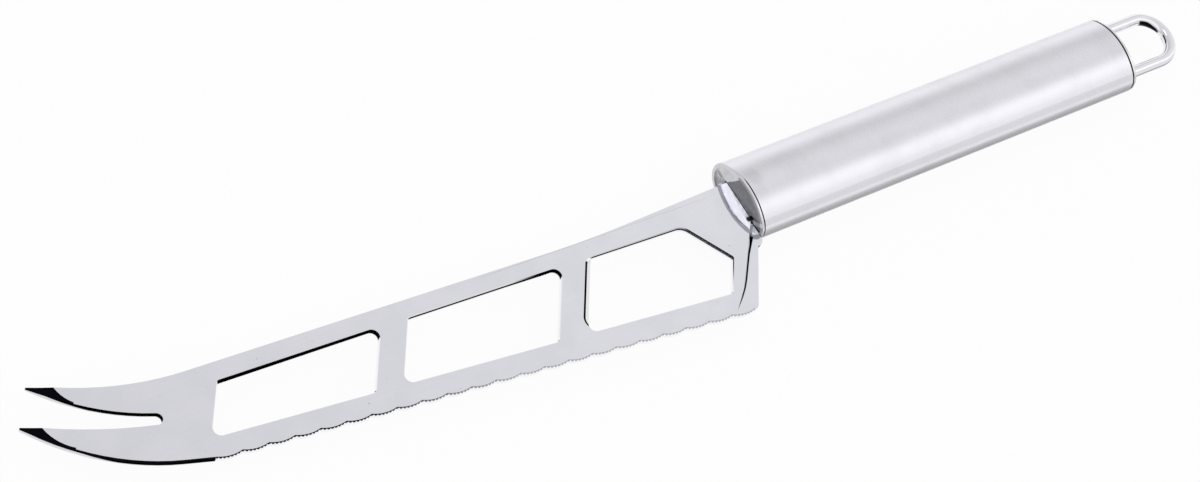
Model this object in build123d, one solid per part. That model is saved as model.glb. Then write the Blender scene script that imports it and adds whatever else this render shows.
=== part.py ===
from build123d import *
from math import asin, cos, degrees, radians, sin, sqrt, tan
import os

# A cheese knife of stainless steel: a pierced, forked and serrated blade in a hollow oval handle
# with a hanging loop. All sizes are in millimetres. While it is modelled, X runs along the axis of
# the handle to the rear with zero at the front end of the tube, Y points from the cutting edge to
# the spine, and Z is square to the blade. The last section moves the whole knife onto its base.

# Handle tube
handle_width = 19.0
handle_thickness = 12.4
handle_end_radius = 4.6
handle_length = 109.2
tube_wall = 0.9
tube_edge_break = 0.15

# Front cap, a pressed cup plugged into the tube
front_rim_proud = 0.15
front_rim_depth = 0.45
front_seam = 0.15
rim_width = 0.9
panel_recess = 0.22
panel_crown = 0.16
crown_set_in = 2.4
cap_wall = 0.8
skirt_wall = 0.6
skirt_length = 4.0
skirt_clearance = 0.05
seam_inset = 0.45
front_rim_radius = 0.2
rim_bands = 2

# Rear cap, a second cup with two round holes for the loop
rear_rim_inset = 0.1
rear_rim_depth = 0.75
rear_seam = 0.3
rear_rim_radius = 0.35

# Hanging loop of bent wire
wire_diameter = 2.8
loop_width = 11.9
loop_reach = 18.55
leg_engagement = 3.2
leg_clearance = 0.05

# Weld beads inside the handle
loop_bead_size = 0.5
loop_bead_start = -135.0
loop_bead_sweep = 90.0
tang_bead_size = 1.1
tang_bead_length = 7.6

# Blade sheet, tang and shoulder
blade_thickness = 1.5
tang_length = 13.0
tang_depth = 6.0
tang_lead = 2.0
slot_clearance = 0.12
slot_end_gap = 0.45
shoulder_gap = 0.08
shoulder_depth = 10.0
nib_depth = 11.35
nib_reach = 2.64
nib_radius = 1.83

# Spine, from the cap forward to the upper point
spine_height = 4.83
rear_spine_angle = 1.1
kink_reach = 38.75
spine_angle = 3.1
kink_radius = 250.0
sweep_radius = 69.0

# Heel and serrated edge
slant_angle = 34.4
heel_depth = 24.43
heel_set_in = 0.95
heel_corner_radius = 1.3
edge_angle = 6.44
scallop_pitch = 5.757
scallop_depth = 0.5
bevel_width = 0.25
bevel_depth = 0.6
teeth_per_scallop = 7
tooth_depth = 0.22
tooth_gap = 0.6
root_grip = 1.0

# Belly and fork, placed from the first notch of the serration
belly_rear_angle = 16.6
belly_radius = 50.4
upper_tip_reach = 28.3
upper_tip_rise = 29.1
lower_tip_reach = 33.4
lower_tip_rise = 21.4
tip_radius = 0.25
fork_slot_reach = 5.75
fork_slot_rise = 11.48
fork_slot_width = 2.6
fork_slot_angle = 21.5
upper_inner_radius = 50.0
lower_inner_radius = 102.0

# Ground facets on the two points
facet_slope = 12.5
facet_start = 157.0
upper_facet_radius = 8.0
upper_facet_reach = 5.8
upper_facet_heading = 171.5
upper_facet_sweep = 67.0
lower_facet_radius = 10.0
lower_facet_reach = 4.4
lower_facet_heading = 177.2
lower_facet_sweep = 78.0

# Windows in the blade
window_count = 3
window_length = 39.05
bar_width = 7.0
window_top_drop = 3.89
window_top_angle = 2.9
window_bottom_rise = 4.19
window_bottom_angle = 6.2
window_corner_radius = 1.5
window_lead_radius = 0.8
window_edge_break = 0.18
rear_window_cut_reach = 16.56
rear_window_cut_angle = 58.1
rear_window_break_radius = 3.0
rear_window_nose_radius = 0.5
fork_bar_width = 12.1
lip_inset = 0.6
lip_width = 1.2
lip_depth = 0.3
lip_shoulder_width = 0.5
lip_shoulder_depth = 0.18
lip_reach = 1.6

# Crease across the heel
crease_drop = 5.2
crease_angle = 39.2
crease_straight = 19.0
crease_bend_radius = 14.0
crease_bend_turn = 24.0
crease_depth = 0.5
crease_fade_set_in = 1.2
crease_wall_angle = 61.0

# One overrun serves all cuts
overrun = 2.0


def at(point, angle, distance):
    """The point reached from a point by going a distance at an angle in degrees from +X."""
    return (point[0] + distance * cos(radians(angle)), point[1] + distance * sin(radians(angle)))


def crossing(first, first_angle, second, second_angle):
    """Where two lines cross, each given by a point and an angle in degrees."""
    ux, uy = cos(radians(first_angle)), sin(radians(first_angle))
    vx, vy = cos(radians(second_angle)), sin(radians(second_angle))
    run = ((second[0] - first[0]) * vy - (second[1] - first[1]) * vx) / (ux * vy - uy * vx)
    return (first[0] + ux * run, first[1] + uy * run)


def bow(start, end, radius, side):
    """The middle point of an arc of a radius from start to end, bowed to the left (1) or right (-1)."""
    dx, dy = end[0] - start[0], end[1] - start[1]
    chord = sqrt(dx * dx + dy * dy)
    rise = radius - sqrt(radius * radius - chord * chord / 4)
    return (
        (start[0] + end[0]) / 2 - side * rise * dy / chord,
        (start[1] + end[1]) / 2 + side * rise * dx / chord,
    )


def rounding(corner, heading_in, heading_out, radius):
    """Start, middle and end of the arc that rounds a corner between two headings in degrees."""
    turn = heading_out - heading_in
    set_back = radius * tan(radians(abs(turn) / 2))
    start = at(corner, heading_in, -set_back)
    end = at(corner, heading_out, set_back)
    return (start, bow(start, end, radius, 1 if turn < 0 else -1), end)


def rise_to(tip, start, heading, radius):
    """Start, middle and end of an arc that leaves a line from start and turns right up to a tip."""
    dx, dy = tip[0] - start[0], tip[1] - start[1]
    run = dx * cos(radians(heading)) + dy * sin(radians(heading))
    rise = dx * sin(radians(heading)) - dy * cos(radians(heading))
    leave = at(start, heading, run - sqrt(2 * radius * rise - rise**2))
    return (leave, bow(leave, tip, radius, 1), tip)


def oval(inset, x):
    """A four-arc oval across the handle, smaller than the tube's outside by an inset, at a station x."""
    half_width, half_height = handle_width / 2, handle_thickness / 2
    end_centre = half_width - handle_end_radius
    flatness = half_height - handle_end_radius
    side_radius = (end_centre**2 + half_height**2 - handle_end_radius**2) / flatness / 2
    side_centre = side_radius - half_height
    stretch = (handle_end_radius - inset) / (side_radius - handle_end_radius)
    join = (end_centre * (1 + stretch), side_centre * stretch)
    reach, rise = half_width - inset, half_height - inset
    right = ThreePointArc((join[0], -join[1]), (reach, 0), join)
    upper = ThreePointArc(join, (0, rise), (-join[0], join[1]))
    face = make_face(Curve() + [right, upper, mirror(right, Plane.YZ), mirror(upper, Plane.XZ)])
    return Plane(origin=(x, 0, 0), x_dir=(0, 1, 0), z_dir=(1, 0, 0)) * face


def along(face, length):
    """A face across the handle extruded to the rear."""
    return extrude(face, length, dir=(1, 0, 0))


def rim(inset, seat, depth, radius, side):
    """A solid rim from its seat to its outer face, rear (1) or front (-1), its corner rounded in bands."""
    sections = [oval(inset, seat)]
    for step in range(rim_bands + 1):
        turn = radians(90 * step / rim_bands)
        station = seat + side * (depth - radius * (1 - sin(turn)))
        sections.append(oval(inset + radius * (1 - cos(turn)), station))
    return loft(sections[::side], ruled=True)


# Places that several pieces share
front_face = -(front_seam + front_rim_depth)
shoulder = front_face - shoulder_gap
front_inside = front_face + panel_recess + cap_wall
rear_seat = handle_length + rear_seam
rear_face = rear_seat + rear_rim_depth
rear_inside = rear_face - cap_wall - rear_rim_radius
skirt_inset = tube_wall + skirt_clearance
leg_height = loop_width / 2
wire_radius = wire_diameter / 2
top = blade_thickness / 2


def handle_tube():
    """A drawn oval tube, open at both ends, with its outer edges broken."""
    sections = [
        oval(tube_edge_break, 0),
        oval(0, tube_edge_break),
        oval(0, handle_length - tube_edge_break),
        oval(tube_edge_break, handle_length),
    ]
    return loft(sections, ruled=True) - along(oval(tube_wall, 0), handle_length)


def front_cap():
    """A pressed cup: a proud polished rim round a crowned panel, with a slot that takes the tang."""
    panel_inset = rim_width - front_rim_proud
    panel_face = front_face + panel_recess
    cap = rim(-front_rim_proud, -front_seam, front_rim_depth, front_rim_radius, -1)
    cap -= along(oval(panel_inset, front_face), panel_recess)
    crown_top = oval(panel_inset + crown_set_in, panel_face - panel_crown)
    crown = loft([crown_top, oval(panel_inset, panel_face)], ruled=True)
    neck = along(oval(seam_inset, front_face + front_rim_depth), front_seam)
    skirt = along(oval(skirt_inset, 0), front_inside + skirt_length)
    cavity = along(oval(skirt_inset + skirt_wall, front_inside), skirt_length + overrun)
    cap = (cap + crown + neck + skirt) - cavity
    slot_top = spine_height + slot_end_gap
    slot_bottom = -(tang_depth + slot_clearance)
    slot = Pos(0, (slot_top + slot_bottom) / 2, 0) * Box(
        2 * (skirt_length + overrun), slot_top - slot_bottom, blade_thickness + 2 * slot_clearance
    )
    return cap - slot


def rear_cap():
    """A cup that closes the rear of the tube, with a rounded rim and two holes for the loop."""
    neck = along(oval(seam_inset, handle_length), rear_seam)
    skirt = along(oval(skirt_inset, handle_length - skirt_length), skirt_length)
    cavity = along(
        oval(skirt_inset + skirt_wall, handle_length - skirt_length - overrun),
        rear_inside - (handle_length - skirt_length - overrun),
    )
    cap = (rim(rear_rim_inset, rear_seat, rear_rim_depth, rear_rim_radius, 1) + neck + skirt) - cavity
    for side in (1, -1):
        hole = Circle(wire_radius + leg_clearance)
        cap -= along(Plane(origin=(rear_inside - overrun, side * leg_height, 0), z_dir=(1, 0, 0)) * hole,
                     2 * (rear_face - rear_inside + overrun))
    return cap


def hanging_loop():
    """One wire bent to a U, whose two straight legs pass through the rear cap."""
    leg_start = rear_inside - leg_engagement
    bend_start = rear_face + loop_reach - wire_radius - leg_height
    path = Curve() + [
        Line((leg_start, leg_height), (bend_start, leg_height)),
        ThreePointArc((bend_start, leg_height), (bend_start + leg_height, 0), (bend_start, -leg_height)),
        Line((bend_start, -leg_height), (leg_start, -leg_height)),
    ]
    section = Plane(origin=(leg_start, leg_height, 0), z_dir=(1, 0, 0)) * Circle(wire_radius)
    return sweep(section, path=path.wire())


def loop_welds():
    """Two tack beads that hold the legs of the loop on the inner face of the rear cap."""
    section = make_face(
        Polyline(
            (rear_inside, wire_radius),
            (rear_inside - loop_bead_size, wire_radius),
            (rear_inside, wire_radius + loop_bead_size),
            close=True,
        )
    )
    bead = Pos(0, leg_height, 0) * Rot(loop_bead_start, 0, 0) * revolve(section, Axis.X, loop_bead_sweep)
    return bead + mirror(bead, Plane.XZ)


def tang_welds():
    """Two fillet beads along the tang on the inner face of the front cap, one on each side."""
    section = make_face(
        Polyline(
            (front_inside, top), (front_inside + tang_bead_size, top), (front_inside, top + tang_bead_size),
            close=True,
        )
    )
    middle = (spine_height - tang_depth) / 2
    bead = extrude(Plane.XZ * section, tang_bead_length / 2, both=True)
    bead = Pos(0, middle, 0) * bead
    return bead + mirror(bead, Plane.XY)


# Stations and lines of the blade that its outline, windows and cuts share
edge_heading = 180 - edge_angle
outward = edge_heading + 90
scallop_top_radius = (scallop_pitch**2 / 4 + scallop_depth**2) / (2 * scallop_depth)
scallop_centre = scallop_top_radius - scallop_depth
scallop_radius = scallop_top_radius + bevel_width
notch_drop = sqrt(scallop_radius**2 - scallop_pitch**2 / 4) - scallop_centre
nib = (-nib_reach, -nib_depth)
heel_corner = crossing(nib, 90 - slant_angle, (0, -heel_depth), 0)
last_foot = (heel_corner[0] - heel_set_in, -heel_depth)
last_notch = at(last_foot, outward, -notch_drop)
rear_bar_foot = crossing(nib, 90 - slant_angle, (0, 0), 0)[0]
fork_base = rear_bar_foot - window_count * (window_length + bar_width) - fork_bar_width
edge_run = (last_notch[0] - fork_base - fork_slot_reach) / cos(radians(edge_angle))
scallop_count = round(edge_run / scallop_pitch)
first_notch = at(last_notch, edge_heading, scallop_count * scallop_pitch)
first_foot = at(first_notch, outward, notch_drop)
kink = crossing((0, spine_height), rear_spine_angle, (-kink_reach, 0), 90)
upper_tip = (first_notch[0] - upper_tip_reach, first_notch[1] + upper_tip_rise)
lower_tip = (first_notch[0] - lower_tip_reach, first_notch[1] + lower_tip_rise)
belly_arc = rise_to(lower_tip, first_foot, 180 - belly_rear_angle, belly_radius)[::-1]


def window_lines(index):
    """The rear, front, upper and lower side of a window, each as a point and an angle in degrees."""
    rear_foot = rear_bar_foot - bar_width - index * (window_length + bar_width)
    rear = ((rear_foot, 0), 90 - slant_angle)
    front_foot = rear_foot - window_length + (lip_inset if index == 0 else 0)
    front = ((front_foot, 0), 90 - slant_angle)
    upper = ((kink[0], kink[1] - window_top_drop), -window_top_angle)
    lower = ((first_notch[0], first_notch[1] + window_bottom_rise), -window_bottom_angle)
    return rear, front, upper, lower


def outline():
    """The face of the blade and its tang, straight along the notches of the serrated edge."""
    tang_top = crossing((0, spine_height), rear_spine_angle, (tang_length, 0), 90)
    kink_arc = rounding(kink, 180 + rear_spine_angle, 180 - spine_angle, kink_radius)
    sweep_arc = rise_to(upper_tip, kink, 180 - spine_angle, sweep_radius)
    slot_radius = fork_slot_width / 2
    slot_end = (first_notch[0] - fork_slot_reach, first_notch[1] + fork_slot_rise)
    slot_centre = at(slot_end, 180 - fork_slot_angle, slot_radius)
    slot_upper = at(slot_centre, 90 - fork_slot_angle, slot_radius)
    slot_lower = at(slot_centre, 270 - fork_slot_angle, slot_radius)
    heel_arc = rounding(heel_corner, 0, 90 - slant_angle, heel_corner_radius)
    shoulder_corner = (shoulder, -shoulder_depth)
    return make_face(
        Curve()
        + [
            Line(tang_top, kink_arc[0]),
            ThreePointArc(*kink_arc),
            Line(kink_arc[2], sweep_arc[0]),
            ThreePointArc(*sweep_arc),
            ThreePointArc(upper_tip, bow(upper_tip, slot_upper, upper_inner_radius, -1), slot_upper),
            ThreePointArc(slot_upper, slot_end, slot_lower),
            ThreePointArc(slot_lower, bow(slot_lower, lower_tip, lower_inner_radius, 1), lower_tip),
            ThreePointArc(*belly_arc),
            Line(belly_arc[2], first_foot),
            Line(first_foot, first_notch),
            Line(first_notch, last_notch),
            Line(last_notch, last_foot),
            Line(last_foot, heel_arc[0]),
            ThreePointArc(*heel_arc),
            Line(heel_arc[2], nib),
            ThreePointArc(nib, bow(nib, shoulder_corner, nib_radius, -1), shoulder_corner),
            Line(shoulder_corner, (shoulder, -tang_depth)),
            Line((shoulder, -tang_depth), (tang_length - tang_lead, -tang_depth)),
            Line((tang_length - tang_lead, -tang_depth), (tang_length, tang_lead - tang_depth)),
            Line((tang_length, tang_lead - tang_depth), tang_top),
        ]
    )


def belly_bevel():
    """What grinding takes off the upper corner of the belly, from the lower point to the first notch."""
    start = belly_arc[0]
    arc = ThreePointArc(*belly_arc)
    heading = arc % 0
    path = Curve() + [arc, Line(belly_arc[2], first_foot)]
    section = Polyline(
        (bevel_width, top),
        (0, top - bevel_depth),
        (-overrun, top - bevel_depth),
        (-overrun, top + overrun),
        (bevel_width, top + overrun),
        close=True,
    )
    plane = Plane((*start, 0), x_dir=(-heading.Y, heading.X, 0), z_dir=heading)
    return sweep(plane * make_face(section), path=path.wire())


def scallop():
    """One scallop of the edge in its own frame: an arc with its bevel and its row of micro-teeth."""
    profile = Polyline(
        (0, -top),
        (scallop_radius, -top),
        (scallop_radius, top - bevel_depth),
        (scallop_top_radius, top),
        (0, top),
        close=True,
    )
    disc = Pos(0, scallop_centre, 0) * revolve(Plane.XZ * make_face(profile), Axis.Z)
    drop = scallop_depth + bevel_width + overrun
    pad = disc & Pos(0, (root_grip - drop) / 2, 0) * Box(scallop_pitch, root_grip + drop, blade_thickness)
    mouth = scallop_radius + tooth_depth
    gap = Polyline((-tooth_gap, -mouth), (tooth_gap, -mouth), (0, -scallop_radius + tooth_depth), close=True)
    gap = extrude(make_face(gap), blade_thickness, both=True)
    step = 2 * degrees(asin(scallop_pitch / 2 / scallop_radius)) / teeth_per_scallop
    for index in range(teeth_per_scallop):
        turn = (index - (teeth_per_scallop - 1) / 2) * step
        pad -= Pos(0, scallop_centre, 0) * Rot(0, 0, turn) * gap
    return pad


def window(index):
    """The opening of one window, counted from the handle; the rear one has a corner cut off."""
    rear, front, upper, lower = window_lines(index)
    corners = [crossing(*front, *upper), crossing(*front, *lower), crossing(*rear, *lower)]
    radii = [window_lead_radius, window_corner_radius, window_corner_radius]
    if index == 0:
        chop = (crossing(*upper, (-rear_window_cut_reach, 0), 90), -rear_window_cut_angle)
        corners += [crossing(*rear, *chop), chop[0]]
        radii += [rear_window_nose_radius, rear_window_break_radius]
    else:
        corners += [crossing(*rear, *upper)]
        radii += [window_corner_radius]
    face = make_face(FilletPolyline(*corners, radius=radii, close=True))
    return extrude(face, blade_thickness, both=True)


def window_lip():
    """What a shallow rolled lip takes off the upper face along the front edge of the rear window."""
    rear, front, upper, lower = window_lines(0)
    border = (at(front[0], 180 - slant_angle, lip_width), front[1])
    downward = 270 - slant_angle
    head = rounding(crossing(*border, *upper), 180 + upper[1], downward, window_lead_radius + lip_width)
    foot = rounding(crossing(*border, *lower), downward, 360 + lower[1], window_corner_radius + lip_width)
    path = Curve() + [ThreePointArc(*head), Line(head[2], foot[0]), ThreePointArc(*foot)]
    section = Polyline(
        (0, top),
        (lip_shoulder_width, top - lip_shoulder_depth),
        (lip_width, top - lip_depth),
        (lip_reach, top - lip_depth),
        (lip_reach, top + overrun),
        (0, top + overrun),
        close=True,
    )
    inward, ahead = at((0, 0), 270 + upper[1], 1), at((0, 0), 180 + upper[1], 1)
    plane = Plane((*head[0], 0), x_dir=(*inward, 0), z_dir=(*ahead, 0))
    return sweep(plane * make_face(section), path=path.wire())


def heel_crease():
    """What a pressed step takes out of the heel: a sloped wall down to a floor that rises to the edge."""
    heading = 270 - crease_angle
    start = (shoulder, -crease_drop)
    bend_start = at(start, heading, crease_straight)
    bend = JernArc(bend_start, at((0, 0), heading, 1), crease_bend_radius, -crease_bend_turn)
    corners = [bend @ 1, (shoulder, (bend @ 1).Y - overrun), start]
    closing = [Line(*pair) for pair in zip(corners, corners[1:])]
    region = make_face(Curve() + [Line(start, bend_start), bend] + closing)
    side = at((0, 0), heading + 90, crease_depth * tan(radians(crease_wall_angle)))
    foot = Pos(*side, top - crease_depth) * region
    head = Pos(-side[0], -side[1], top + crease_depth) * region
    fade = crease_depth / (heel_depth - crease_fade_set_in - crease_drop)
    floor = Plane((shoulder, -crease_drop, top - crease_depth), x_dir=(1, 0, 0), z_dir=(0, fade, 1))
    return loft([foot, head], ruled=True) & floor * Pos(0, 0, heel_depth) * Box(*[2 * heel_depth] * 3)


def ground_facet(tip, radius, reach, heading, sweep_angle):
    """What grinding takes off the top of a point: a cone that falls from a round border to the tip."""
    fall = reach * tan(radians(facet_slope))
    profile = Polyline(
        (radius, top),
        (radius + reach, top - fall),
        (radius + reach, top + overrun),
        (radius, top + overrun),
        close=True,
    )
    ring = revolve(Plane.XZ * make_face(profile), Axis.Z, sweep_angle)
    return Pos(*at(tip, heading, -(radius + reach))) * Rot(0, 0, facet_start) * ring


def blade():
    """The whole blade: blank, belly bevel, windows, serrated edge, ground points and heel crease."""
    face = outline()
    tips = [face.vertices().sort_by_distance((*tip, 0))[0] for tip in (upper_tip, lower_tip)]
    sheet = extrude(fillet(tips, tip_radius), top, both=True)
    sheet -= belly_bevel()
    sheet -= [window(index) for index in range(window_count)]
    mouths = sheet.faces().sort_by(Axis.Z)[-1].inner_wires()
    sheet = chamfer([edge for mouth in mouths for edge in mouth.edges()], window_edge_break)
    sheet -= window_lip()
    pad = scallop()
    middles = [at(last_notch, edge_heading, (index + 0.5) * scallop_pitch) for index in range(scallop_count)]
    sheet = sheet + [Pos(*middle) * Rot(0, 0, -edge_angle) * pad for middle in middles]
    upper_facet = (upper_facet_radius, upper_facet_reach, upper_facet_heading, upper_facet_sweep)
    lower_facet = (lower_facet_radius, lower_facet_reach, lower_facet_heading, lower_facet_sweep)
    sheet -= [ground_facet(upper_tip, *upper_facet), ground_facet(lower_tip, *lower_facet)]
    return sheet - heel_crease()


makers = {
    "blade": blade,
    "front_cap": front_cap,
    "handle_tube": handle_tube,
    "rear_cap": rear_cap,
    "hanging_loop": hanging_loop,
    "tang_weld": tang_welds,
    "loop_welds": loop_welds,
}
pieces = {name: maker() for name, maker in makers.items()}

# The knife lies flat, with its origin under the middle of its bounding box
box = Compound(list(pieces.values())).bounding_box()
base = Pos(-box.center().X, -box.center().Y, -box.min.Z)
os.makedirs("parts", exist_ok=True)
for name, piece in pieces.items():
    export_step(base * piece, f"parts/{name}.step")
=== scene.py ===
import math

import bpy
from mathutils import Matrix, Vector


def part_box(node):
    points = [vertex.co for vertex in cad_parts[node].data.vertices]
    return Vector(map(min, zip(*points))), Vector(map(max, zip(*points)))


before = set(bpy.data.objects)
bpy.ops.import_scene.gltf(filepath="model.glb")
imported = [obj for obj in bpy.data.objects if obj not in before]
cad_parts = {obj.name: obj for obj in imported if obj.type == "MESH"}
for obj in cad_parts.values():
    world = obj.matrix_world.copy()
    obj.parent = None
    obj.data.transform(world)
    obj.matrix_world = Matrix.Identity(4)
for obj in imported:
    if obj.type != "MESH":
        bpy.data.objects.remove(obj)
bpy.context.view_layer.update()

MM = 0.001

# Camera
# A long lens looks down on the knife from in front of its points and below its edge, rolled so that
# the knife climbs to the right. Its place is given from the front end of the handle's axis.
tube_low, tube_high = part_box("handle_tube")
handle_front = Vector((tube_low.x, (tube_low.y + tube_high.y) / 2, (tube_low.z + tube_high.z) / 2))
photo_width_px = 1200
focal_length_px = 3736.2
camera_place = handle_front + Vector((-442.06, -245.05, 628.31)) * MM
camera_back = Vector((-0.51554, -0.31485, 0.79692)).normalized()
camera_right = Vector((0.79805, -0.51525, 0.31263))
camera_up = camera_back.cross(camera_right).normalized()
camera_right = camera_up.cross(camera_back)
camera_data = bpy.data.cameras.new("camera")
camera_data.lens = camera_data.sensor_width * focal_length_px / photo_width_px
camera_data.clip_start = 10 * MM
camera = bpy.data.objects.new("camera", camera_data)
turn = Matrix((camera_right, camera_up, camera_back)).transposed()
camera.matrix_world = Matrix.Translation(camera_place) @ turn.to_4x4()
bpy.context.scene.collection.objects.link(camera)
bpy.context.scene.camera = camera
bpy.context.scene.view_settings.view_transform = "Standard"

# Blade
# One punched sheet of stainless steel, its flat faces polished to an even soft mirror. The walls of its
# openings are painted dark as painted shade, above a foot painted bright as a painted highlight. Its
# points, belly and teeth are ground, and painted dark beside the polish as painted shade.

# places in mm from the front end of the handle's axis: x to the rear, y to the blade's back, z up
blade_top = (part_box("blade")[1].z - handle_front.z) / MM
edge_angle = math.radians(6.44)
edge_foot = Vector((-12.5, -24.2, 0))
fork_root = -140
teeth_front, teeth_rear = -138.5, -5
teeth_height, tooth_depth = 1.6, 0.45
root_depth, root_rear = 0.34, -88
heel_front = -20
lip_rear = -14
crease_angle = math.radians(230.8)
crease_start = Vector((0, -5.2, 0))
crease_line_start, crease_line_end = 4.2, 24.8
hair_line_across = Vector((0.03, 1, 0))
hair_line_low, hair_line_high = 2.95, 3.0
hair_line_front, hair_line_rear = -62, -12
painted_spot_place, painted_spot_radius = Vector((-1.0, -4.95, 0.75)), 0.90

# the sizes of the grains, the first of them drawn out along the blade, how strong the marks of the polish
# are, and how every mask fades
grain_mm, grain_stretch = 0.35, 14
cloud_mm, pit_mm, glint_grain_mm = 9.0, 0.9, 0.25
cloud_strength, pit_strength, hair_line_strength = 0.35, 0.5, 0.35
soft = {"interpolation_type": "SMOOTHSTEP"}


def linear(code):
    """An sRGB hex colour as the linear RGBA that Blender's sockets take."""
    shares = [int(code[i:i + 2], 16) / 255 for i in (1, 3, 5)]
    return (*[s / 12.92 if s <= 0.04045 else ((s + 0.055) / 1.055) ** 2.4 for s in shares], 1.0)


def new_material(name):
    """An empty node material, its tree and its output node."""
    made = bpy.data.materials.new(name)
    made.use_nodes = True
    made.node_tree.nodes.clear()
    return made, made.node_tree, made.node_tree.nodes.new("ShaderNodeOutputMaterial")


def add(kind, *values, named=None, **settings):
    """Adds a node to the tree in hand. Once it is set, its live inputs take the values in turn, and the
    named ones take theirs. A socket is linked in, and so is the first live output of a node."""
    node = tree.nodes.new("ShaderNode" + kind)
    for name, setting in settings.items():
        setattr(node, name, setting)
    live = [socket for socket in node.inputs if socket.enabled]
    given = [(live[order], value) for order, value in enumerate(values)]
    given += [(node.inputs[name], value) for name, value in (named or {}).items()]
    for socket, value in given:
        if isinstance(value, bpy.types.Node):
            value = next(output for output in value.outputs if output.enabled)
        if isinstance(value, bpy.types.NodeSocket):
            tree.links.new(value, socket)
        else:
            socket.default_value = value
    return node


def surface():
    """A surface's place in mm in the object's frame, its place from the handle's front, its normal."""
    coords = add("TexCoord").outputs
    grid = add("VectorMath", coords["Object"], 1 / MM, operation="SCALE")
    place = add("VectorMath", grid, handle_front / MM, operation="SUBTRACT")
    return grid, place, coords["Normal"]


def overlap(*masks):
    """Where all of the masks hold. A plain number among them is the strength."""
    held = masks[0]
    for mask in masks[1:]:
        held = add("Math", held, mask, operation="MULTIPLY")
    return held


def either(*masks):
    """Where any of the masks holds."""
    held = masks[0]
    for mask in masks[1:]:
        held = add("Math", held, mask, operation="MAXIMUM")
    return held


def between(value, low, high, fade):
    """A mask that holds between two levels, with soft shoulders outside them."""
    return overlap(add("MapRange", value, low - fade, low, **soft),
                   add("MapRange", value, high + fade, high, **soft))


def route(value, *stops):
    """A level that runs straight from stop to stop, given as pairs of value and level."""
    start, end = stops[0][0], stops[-1][0]
    least = min(level for at, level in stops)
    most = max(level for at, level in stops)
    ramp = add("ValToRGB", add("MapRange", value, start, end))
    elements = ramp.color_ramp.elements
    while len(elements) < len(stops):
        elements.new(0.5)
    for element, (at, level) in zip(elements, stops):
        share = (level - least) / (most - least)
        element.position = (at - start) / (end - start)
        element.color = (share, share, share, 1.0)
    return add("MapRange", ramp, 0.0, 1.0, least, most)


def dress(material, slot, *names):
    """Puts a finish on CAD nodes. The slot it is given is not used."""
    for name in names:
        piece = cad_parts[name]
        piece.data.materials.clear()
        piece.data.materials.append(material)


material, tree, out = new_material("polished_stainless_sheet")
grid, place, normal = surface()
along, across, height = add("SeparateXYZ", place).outputs
facing = add("SeparateXYZ", normal).outputs
rearward = facing["X"]
depth = add("Math", blade_top, height, operation="SUBTRACT")
edge_side = (math.sin(edge_angle), math.cos(edge_angle), 0)
from_foot = add("VectorMath", place, edge_foot, operation="SUBTRACT")
above_edge = add("VectorMath", from_foot, edge_side, operation="DOT_PRODUCT")

# How the surface lies, from 1 on a flat face to 0 on a wall: a wall across the sheet, a ground bevel, the
# broken edge at the mouth of an opening, or a slope a little off the flat. The walls that take the painted
# shade look forward and to the edge.
flat = add("Math", facing["Z"], operation="ABSOLUTE")
wall = add("MapRange", flat, 0.20, 0.14, **soft)
bevel = between(flat, 0.25, 0.55, 0.03)
mouth = between(flat, 0.62, 0.78, 0.04)
slope = between(flat, 0.90, 0.990, 0.002)
to_edge = add("VectorMath", normal, (0.8, 1, 0), operation="DOT_PRODUCT")
to_edge = add("MapRange", to_edge, -0.1, -0.3, **soft)

# Where it lies: in the strip of the teeth or not, and at the heel or not.
toothed = overlap(add("MapRange", above_edge, teeth_height, teeth_height - 0.4, **soft),
                  add("MapRange", along, teeth_front - 0.1, teeth_front + 0.1, **soft),
                  add("MapRange", along, teeth_rear + 2, teeth_rear, **soft))
plain = add("Math", 1.0, toothed, operation="SUBTRACT")
at_heel = add("MapRange", along, heel_front, heel_front + 4, **soft)

# The walls' painted shade starts at the top face, and its depth in mm changes along the blade. It takes
# the broken edge with it at the fork and the front window, and leaves it bright at the middle window.
wall_shade_depth = route(along, (-172, 0.40), (-163, 0.60), (-157, 1.3), (-140, 1.45), (-131, 1.6), (-105, 1.35),
                   (-90, 1.25), (-86, 1.0), (-62, 1.0), (-52, 1.3), (-43, 0.90), (0, 0.90))
left_to_wall_shade = add("Math", wall_shade_depth, depth, operation="SUBTRACT")
wall_shade = overlap(add("MapRange", left_to_wall_shade, 0.0, 0.12, **soft), wall, to_edge, plain)
mouth_shade_share = route(along, (-172, 1), (-91, 1), (-87, 0), (-60, 0), (-54, 1), (-47, 1), (-43, 0.1),
                   (-30, 0.2), (-20, 0.3), (0, 0.3))
mouth_shade = overlap(mouth, to_edge, plain, mouth_shade_share)
heel_mouth_shade = overlap(mouth, add("MapRange", rearward, -0.3, -0.6, **soft),
                     add("MapRange", across, -18, -13, **soft), at_heel)

# Ground metal, painted dark as painted shade: the facets of the points, the lip rolled down at the rear
# window, the belly, and the teeth, whose painted shade is darkest in front and has dark roots there.
facet = overlap(slope, add("MapRange", rearward, -0.03, -0.08, **soft),
                add("MapRange", along, fork_root, fork_root - 10, **soft))
lip = overlap(between(flat, 0.90, 0.96, 0.01), add("MapRange", rearward, 0.18, 0.22, **soft),
              add("MapRange", along, lip_rear + 2, lip_rear, **soft))
belly = overlap(bevel, plain, add("MapRange", along, heel_front, heel_front - 10, **soft))
tooth_dark = route(along, (-139, 1), (-104, 1), (-92, 0.85), (-70, 0.50), (-10, 0.46))
tooth = overlap(bevel, toothed, tooth_dark,
                add("MapRange", depth, tooth_depth + 0.07, tooth_depth - 0.07, **soft))
tooth_root = overlap(toothed, wall, add("MapRange", depth, root_depth, root_depth - 0.1, **soft),
                     add("MapRange", along, root_rear, root_rear - 12, **soft))
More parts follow.
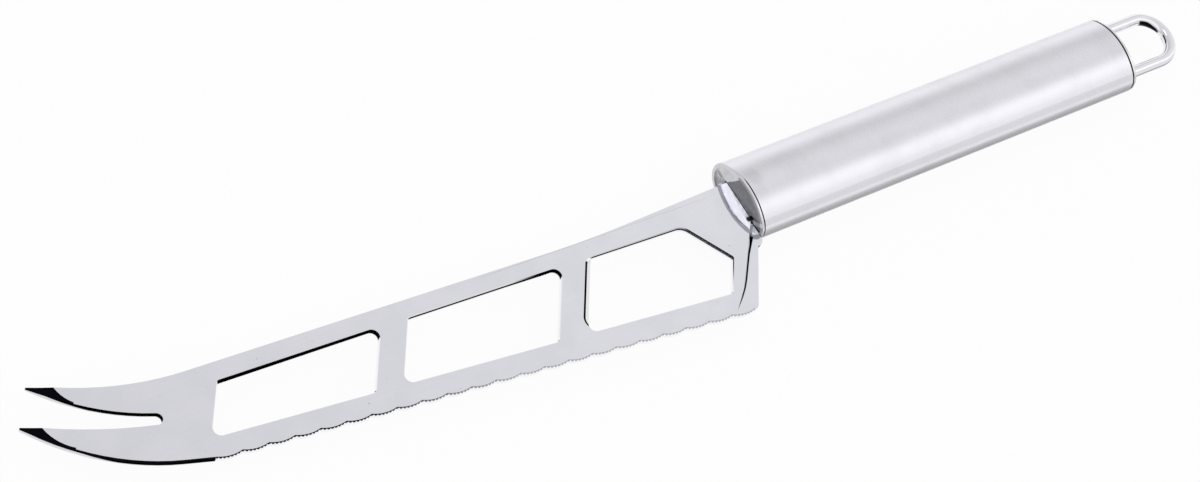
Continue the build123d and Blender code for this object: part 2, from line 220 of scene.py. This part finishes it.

# The crease of the heel has painted shade along its foot. The painted shade is a line that bends away
# from the crease's straight way towards its end, and thins out there.
crease_way = (math.cos(crease_angle), math.sin(crease_angle), 0)
crease_off = (math.sin(crease_angle), -math.cos(crease_angle), 0)
from_crease = add("VectorMath", place, crease_start, operation="SUBTRACT")
crease_run = add("VectorMath", from_crease, crease_way, operation="DOT_PRODUCT")
crease_side = add("VectorMath", from_crease, crease_off, operation="DOT_PRODUCT")
crease_bend = route(crease_run, (-1, 0.05), (3, -0.05), (6.7, -0.07), (9, 0.10), (16, 0.10), (18.2, 0.24),
                    (20.6, 0.61), (22.6, 1.01), (24.2, 1.33), (25, 1.5))
crease_width = route(crease_run, (2, 0.62), (3.6, 0.55), (7, 0.27), (12, 0.22), (20, 0.18), (24.5, 0))
off_line = add("Math", add("Math", crease_side, crease_bend, operation="SUBTRACT"), operation="ABSOLUTE")
inside_line = add("Math", crease_width, off_line, operation="SUBTRACT")
crease_line = overlap(add("MapRange", inside_line, -0.03, 0.03, **soft),
                      add("MapRange", crease_run, crease_line_start, crease_line_start + 0.4, **soft),
                      add("MapRange", crease_run, crease_line_end, crease_line_end - 0.8, **soft))
# All of these together are the painted shade.
painted_shade = either(wall_shade, mouth_shade, heel_mouth_shade, facet, lip, belly, tooth, tooth_root, crease_line)

# Painted highlight: the walls and broken edges out of the painted shade, and the top of the rolled lip.
unshaded = add("Math", 1.0, painted_shade, operation="SUBTRACT")
rolled_highlight = overlap(between(flat, 0.975, 0.990, 0.003), add("MapRange", rearward, 0.05, 0.10, **soft))
painted_highlight = either(overlap(wall, unshaded), rolled_highlight, overlap(mouth, unshaded))

# The polish leaves a fine grain along the blade, faint clouds, a few pits and a hair line near the back,
# which keep the grey from looking painted. The grain and the pits are coarser than real, to show at all.
grain = add("TexNoise", add("Mapping", grid, named={"Scale": (1 / grain_stretch, 1, 1)}), 1 / grain_mm, 3.0)
cloud = add("TexNoise", grid, 1 / cloud_mm, 2.0)
pits = add("MapRange", add("TexNoise", grid, 1 / pit_mm, 2.0), 0.735, 0.77, **soft)
hair_line = add("VectorMath", place, hair_line_across, operation="DOT_PRODUCT")
hair_line = overlap(between(hair_line, hair_line_low, hair_line_high, 0.06),
                    between(along, hair_line_front, hair_line_rear, 8), hair_line_strength)
face = add("Mix", grain, linear("#E6E6ED"), linear("#EDEDF4"), data_type="RGBA")
cloudy = overlap(add("MapRange", cloud, 0.35, 0.65, **soft), cloud_strength)
face = add("Mix", cloudy, face, linear("#DFDFE7"), data_type="RGBA")
marks = either(overlap(pits, pit_strength), hair_line)
face = add("Mix", marks, face, linear("#9A9AA4"), data_type="RGBA")

# A dark spot is painted where the blade enters the cap, a painted reflection, and the short slope of the
# crease is painted duller than the face, painted shade over its bright reflection.
from_painted_spot = add("VectorMath", place, painted_spot_place, operation="DISTANCE")
painted_spot = overlap(add("MapRange", from_painted_spot, painted_spot_radius, painted_spot_radius - 0.5, **soft),
                 add("MapRange", flat, 0.95, 0.99, **soft))
face = add("Mix", painted_spot, face, linear("#2A2A30"), data_type="RGBA")
shaded_crease_slope = overlap(between(flat, 0.84, 0.90, 0.01), add("MapRange", rearward, 0.25, 0.30, **soft),
                       add("MapRange", across, -7.6, -8.2, **soft), at_heel)
face = add("Mix", shaded_crease_slope, face, linear("#B4B4BC"), data_type="RGBA")

# The painted shade is near black, and mottled with painted glints at the slanted wall of the rear window.
crust_and_glints = add("MapRange", add("TexNoise", grid, 1 / glint_grain_mm, 2.0), 0.45, 0.75, **soft)
painted_glints = add("Mix", crust_and_glints, linear("#2C2C32"), linear("#8C8C94"), data_type="RGBA")
slanted_wall = overlap(add("MapRange", along, heel_front - 4, heel_front + 4, **soft),
                       add("MapRange", above_edge, 4, 6, **soft), wall)
shade_colour = add("Mix", slanted_wall, linear("#0E0E12"), painted_glints, data_type="RGBA")
# The painted highlight is greyer at the forked end.
forked_end = add("MapRange", along, teeth_front + 0.5, teeth_front - 1.0, **soft)
highlight_colour = add("Mix", forked_end, linear("#F6F6F9"), linear("#DADAE0"), data_type="RGBA")
colour = add("Mix", painted_highlight, face, highlight_colour, data_type="RGBA")
colour = add("Mix", painted_shade, colour, shade_colour, data_type="RGBA")
# Under the painted shade the reflection's tint is darkened as well.
glance = add("Mix", painted_shade, linear("#FFFFFF"), linear("#18181C"), data_type="RGBA")
shine = add("MapRange", grain, 0.3, 0.7, 0.05, 0.08)
steel = add("BsdfPrincipled", named={
    "Base Color": colour, "Metallic": 1.0, "Roughness": shine, "Specular Tint": glance,
})
tree.links.new(steel.outputs[0], out.inputs[0])
dress(material, "blade_steel", "blade")

# Front and rear cap
# Two cups pressed from stainless sheet, with skirts that go into the tube up to a fine seam in painted
# shade. Their rims are polished and catch the light in thin lines, their front face lighter as a painted
# highlight, and the front panel keeps the dull mottle of the press and a painted shade beside the blade.
tube_length = (tube_high.x - tube_low.x) / MM
rim_front = -0.59
slot_end = -5.0
bulge_fall = 0.05
panel_shade_strength = 0.6
mottle_mm = 1.4
material, tree, out = new_material("pressed_stainless_cap")
grid, place, normal = surface()
ahead, side, height = add("SeparateXYZ", place).outputs
rearward = add("SeparateXYZ", normal).outputs["X"]
above = add("Math", height, blade_top, operation="SUBTRACT")
mottle = add("TexNoise", grid, 1 / mottle_mm, 4.0)
panel = overlap(between(ahead, rim_front + 0.015, 0.2, 0.01), add("MapRange", rearward, -0.5, -0.9, **soft))
# The front face of the rim is painted lighter, a painted highlight.
rim_face = overlap(add("MapRange", ahead, rim_front + 0.005, rim_front - 0.005, **soft),
                   add("MapRange", rearward, -0.90, -0.98, **soft))
rim_colour = add("Mix", rim_face, linear("#E6E6EA"), linear("#CDCDD1"), data_type="RGBA")
mottled = add("MapRange", mottle, 0.35, 0.70, **soft)
colour = add("Mix", mottled, linear("#C2C2C6"), linear("#D0D0D4"), data_type="RGBA")
colour = add("Mix", panel, rim_colour, colour, data_type="RGBA")

# The panel's painted shade reaches highest above the blade at the lower end of the slot.
panel_shade_height = route(side, (-8.5, 1.5), (-4, 1.5), (1.5, 0.5), (4, 0))
inside_panel_shade = add("Math", panel_shade_height, above, operation="SUBTRACT")
panel_shade = overlap(add("MapRange", inside_panel_shade, -0.5, 0.5, **soft), panel,
               add("MapRange", mottle, 0.30, 0.60, **soft), panel_shade_strength)
colour = add("Mix", panel_shade, colour, linear("#34343A"), data_type="RGBA")

# The seams and the end of the slot beside the tang are painted dark, as painted shade.
front_seam = overlap(between(ahead, -0.16, 0.2, 0.01), add("MapRange", side, 2.5, 0.5, **soft))
rear_seam = between(ahead, tube_length - 0.1, tube_length + 0.31, 0.01)
slot_gap = overlap(between(above, -0.62, -0.30, 0.03),
                   add("MapRange", side, slot_end, slot_end - 0.4, **soft), panel)
colour = add("Mix", either(front_seam, rear_seam, slot_gap), colour, linear("#0C0C10"), data_type="RGBA")
shine = add("MapRange", mottle, 0.3, 0.7, 0.06, 0.12)

# The press left the panel a little round, lower with each mm from the axis, which turns what it reflects.
off_axis = add("Math", height, operation="ABSOLUTE")
bulge = overlap(off_axis, panel, -bulge_fall * MM)
bulged = add("Bump", named={"Strength": 1.0, "Distance": 1.0, "Height": bulge})
steel = add("BsdfPrincipled", named={
    "Base Color": colour, "Metallic": 1.0, "Roughness": shine, "Normal": bulged,
})
tree.links.new(steel.outputs[0], out.inputs[0])
dress(material, "cap_steel", "front_cap", "rear_cap")

# Hanging loop
# Round stainless wire, bent cold and polished, so it shows a bright core between darker streaks. On the
# inner side of the bend two dark streaks are painted, as painted reflections.
loop_low, loop_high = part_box("hanging_loop")
bend_radius = (loop_high.y - loop_low.y) / 2
bend_centre = Vector((loop_high.x - bend_radius, (loop_low.y + loop_high.y) / 2, 0)) / MM
smear_mm = 1.5
material, tree, out = new_material("polished_stainless_wire")
grid, _, normal = surface()
smear = add("TexNoise", grid, 1 / smear_mm, 3.0)
colour = add("Mix", smear, linear("#E8E8EE"), linear("#F4F4F8"), data_type="RGBA")

# Round the bend, in degrees from the rear end towards the blade's back, and how much the surface looks
# to the bend's centre.
from_bend = add("VectorMath", grid, bend_centre, operation="SUBTRACT")
offset = add("SeparateXYZ", from_bend).outputs
bend_angle = add("Math", offset["Y"], offset["X"], operation="ARCTAN2")
bend_angle = add("Math", bend_angle, math.degrees(1), operation="MULTIPLY")
to_centre = add("VectorMath", from_bend, (-1, -1, 0), operation="MULTIPLY")
to_centre = add("VectorMath", to_centre, operation="NORMALIZE")
inward = add("VectorMath", normal, to_centre, operation="DOT_PRODUCT")
# The two streaks are painted reflections.
streak_edge = route(bend_angle, (8, 0.99), (35, 0.90), (55, 0.76), (85, 0.68))
inside_streak = add("Math", inward, streak_edge, operation="SUBTRACT")
first_painted_reflection = overlap(between(bend_angle, 14, 76, 4), add("MapRange", inside_streak, -0.04, 0.04, **soft))
second_painted_reflection = overlap(between(bend_angle, -30, -8, 6), between(inward, 0.84, 0.93, 0.04))
colour = add("Mix", either(first_painted_reflection, second_painted_reflection), colour, linear("#101014"), data_type="RGBA")
shine = add("MapRange", smear, 0.3, 0.7, 0.05, 0.11)
steel = add("BsdfPrincipled", named={"Base Color": colour, "Metallic": 1.0, "Roughness": shine})
tree.links.new(steel.outputs[0], out.inputs[0])
dress(material, "wire_steel", "hanging_loop")

# Weld beads
# Bare weld metal, left as it cooled on the inner side of the caps, which gives the eye a dull warm grey.
# The beads hold the tang in the front cap and the legs of the loop in the rear cap.
bead_mm = 0.6
material, tree, out = new_material("dull_weld_metal")
grid, _, _ = surface()
crust_and_glints = add("TexNoise", grid, 1 / bead_mm, 5.0)
colour = add("Mix", crust_and_glints, linear("#8F8B85"), linear("#B9B5AE"), data_type="RGBA")
steel = add("BsdfPrincipled", named={"Base Color": colour, "Metallic": 1.0, "Roughness": 0.55})
tree.links.new(steel.outputs[0], out.inputs[0])
dress(material, "weld_metal", "tang_weld", "loop_welds")

# Handle tube
# Drawn stainless tube, pushed over the caps' skirts and brushed round its girth with an abrasive belt. The
# fine scratches smear every reflection lengthwise, so the light lies in even bands along the handle.
# They are coarser than real, to show at all.
scratch_mm, scratch_stretch = 0.30, 30
wear_mm = 7.0
dark_patch_place, dark_patch_radius = Vector((2.4, 1.8, 6.1)), 3.0
wear_strength, dark_patch_strength = 0.3, 0.28
material, tree, out = new_material("brushed_stainless_tube")
grid, place, _ = surface()
ahead, side, _ = add("SeparateXYZ", place).outputs
round_girth = (1, 1 / scratch_stretch, 1 / scratch_stretch)
belt = add("TexNoise", add("Mapping", grid, named={"Scale": round_girth}), 1 / scratch_mm, 4.0)
wear = add("TexNoise", grid, 1 / wear_mm, 3.0)
colour = add("Mix", belt, linear("#E7E6ED"), linear("#F2F1F7"), data_type="RGBA")
worn = overlap(add("MapRange", wear, 0.45, 0.75, **soft), wear_strength)
colour = add("Mix", worn, colour, linear("#D8D8DE"), data_type="RGBA")
# A soft darker patch on top of the tube near its front end.
from_dark_patch = add("VectorMath", place, dark_patch_place, operation="DISTANCE")
dark_patch = add("MapRange", from_dark_patch, dark_patch_radius, dark_patch_radius - 2.2, **soft)
dark_patch = overlap(dark_patch, dark_patch_strength)
colour = add("Mix", dark_patch, colour, linear("#B8B8BE"), data_type="RGBA")

# Both mouths are shaded where their broken edges turn in to the caps.
front_shade = overlap(add("MapRange", ahead, 0.30, 0.22, **soft), add("MapRange", side, 3.0, 0.5, **soft))
rear_shade = add("MapRange", ahead, tube_length - 0.24, tube_length - 0.16, **soft)
colour = add("Mix", either(front_shade, rear_shade), colour, linear("#141418"), data_type="RGBA")
shine = add("MapRange", belt, 0.25, 0.75, 0.24, 0.34)
scratches = add("Bump", named={"Strength": 0.2, "Distance": 0.01 * MM, "Height": belt})
steel = add("BsdfPrincipled", named={
    "Base Color": colour, "Metallic": 1.0, "Roughness": shine, "Anisotropic": 0.75,
    "Anisotropic Rotation": 0.25, "Tangent": add("Tangent", direction_type="RADIAL", axis="X"),
    "Normal": scratches,
})
tree.links.new(steel.outputs[0], out.inputs[0])
dress(material, "handle_steel", "handle_tube")

# Floor and shadow sheet
# A white floor that shows white to the camera and in the steel, and keeps a faint shadow. A glowing grey
# sheet lies along the near side of the handle, out of the camera's sight: a painted shadow of the floor
# that the steel reflects, which darkens the handle's lower edge.
floor_reach = 4
white_share = 0.92
shadow_sheet_front, shadow_sheet_rear = tube_low.x - 1 * MM, tube_high.x + 40 * MM
shadow_sheet_near, shadow_sheet_far = tube_low.y - 22 * MM, tube_low.y - 0.5 * MM
shadow_sheet_light, shadow_sheet_dark = 0.72, 0.42


def card(name, low_x, high_x, low_y, high_y, z):
    """A level sheet of the stage with an empty material, whose tree and output it returns."""
    corners = [(low_x, low_y, z), (high_x, low_y, z), (high_x, high_y, z), (low_x, high_y, z)]
    mesh = bpy.data.meshes.new(name)
    mesh.from_pydata(corners, [], [(0, 1, 2, 3)])
    sheet = bpy.data.objects.new(name, mesh)
    bpy.context.scene.collection.objects.link(sheet)
    paint, paint_tree, paint_out = new_material(name + "_paint")
    mesh.materials.append(paint)
    return sheet, paint_tree, paint_out


_, tree, out = card("floor", -floor_reach, floor_reach, -floor_reach, floor_reach, 0.0)
rays = add("LightPath").outputs
seen = either(rays["Is Camera Ray"], rays["Is Glossy Ray"], rays["Is Transmission Ray"])
paint = add("BsdfDiffuse", linear("#FCFCFC"))
glow = add("Emission", linear("#FFFFFF"), 1.0)
mixed = add("MixShader", overlap(seen, white_share), paint, glow)
tree.links.new(mixed.outputs[0], out.inputs[0])

shadow_sheet, tree, out = card("shadow_sheet", shadow_sheet_front, shadow_sheet_rear, shadow_sheet_near, shadow_sheet_far, 0.1 * MM)
towards_handle = add("SeparateXYZ", add("TexCoord").outputs["Object"]).outputs["Y"]
fall = add("MapRange", towards_handle, shadow_sheet_near, shadow_sheet_far - 1.5 * MM, shadow_sheet_light, shadow_sheet_dark)
dim = add("Emission", linear("#FFFFFF"), fall)
tree.links.new(dim.outputs[0], out.inputs[0])
for sight in ("visible_camera", "visible_diffuse", "visible_shadow", "visible_transmission"):
    setattr(shadow_sheet, sight, False)

# Studio
# A white tent all round, brightest a little to the near side of straight above the handle and low on
# the far side. One window in it and one grey stand show side by side in the front cap. Angles turn
# about the handle's axis, in degrees from straight up towards the far side.
window_way = Vector((-0.35, 0.305, 0.885)).normalized()
window_edge, window_core = math.radians(11), math.radians(8.5)
window_gain = 1.05
stand_way = Vector((-0.68, 0.31, 0.665)).normalized()
stand_edge, stand_core = math.radians(12), math.radians(8)
stand_loss = 0.5
world = bpy.data.worlds.new("white_tent")
bpy.context.scene.world = world
world.use_nodes = True
tree = world.node_tree
sky = add("TexCoord").outputs["Generated"]
ray = add("SeparateXYZ", sky).outputs
angle = add("Math", ray["Y"], ray["Z"], operation="ARCTAN2")
angle = add("Math", angle, math.degrees(1), operation="MULTIPLY")
tent = route(angle, (-110, 0.74), (-86, 0.78), (-56, 0.81), (-42, 1.0), (-34, 1.10), (-25, 1.16),
             (-17, 1.09), (-8, 0.87), (0, 0.79), (22, 0.82), (38, 0.77), (53, 0.65), (62, 0.72),
             (70, 0.86), (80, 1.04), (96, 1.0), (110, 1.12))
tent = overlap(tent, route(ray["X"], (0.0, 0.94), (0.36, 0.94), (0.56, 1.06), (1.0, 1.06)))
toward_stand = add("VectorMath", sky, stand_way, operation="DOT_PRODUCT")
stand = add("MapRange", toward_stand, math.cos(stand_edge), math.cos(stand_core), **soft)
tent = overlap(tent, add("Math", 1.0, overlap(stand, stand_loss), operation="SUBTRACT"))
toward_window = add("VectorMath", sky, window_way, operation="DOT_PRODUCT")
window = add("MapRange", toward_window, math.cos(window_edge), math.cos(window_core), **soft)
tent = add("Math", tent, overlap(window, window_gain), operation="ADD")
background = tree.nodes["Background"]
background.inputs["Color"].default_value = linear("#FFFFFF")
tree.links.new(tent.outputs[0], background.inputs["Strength"])
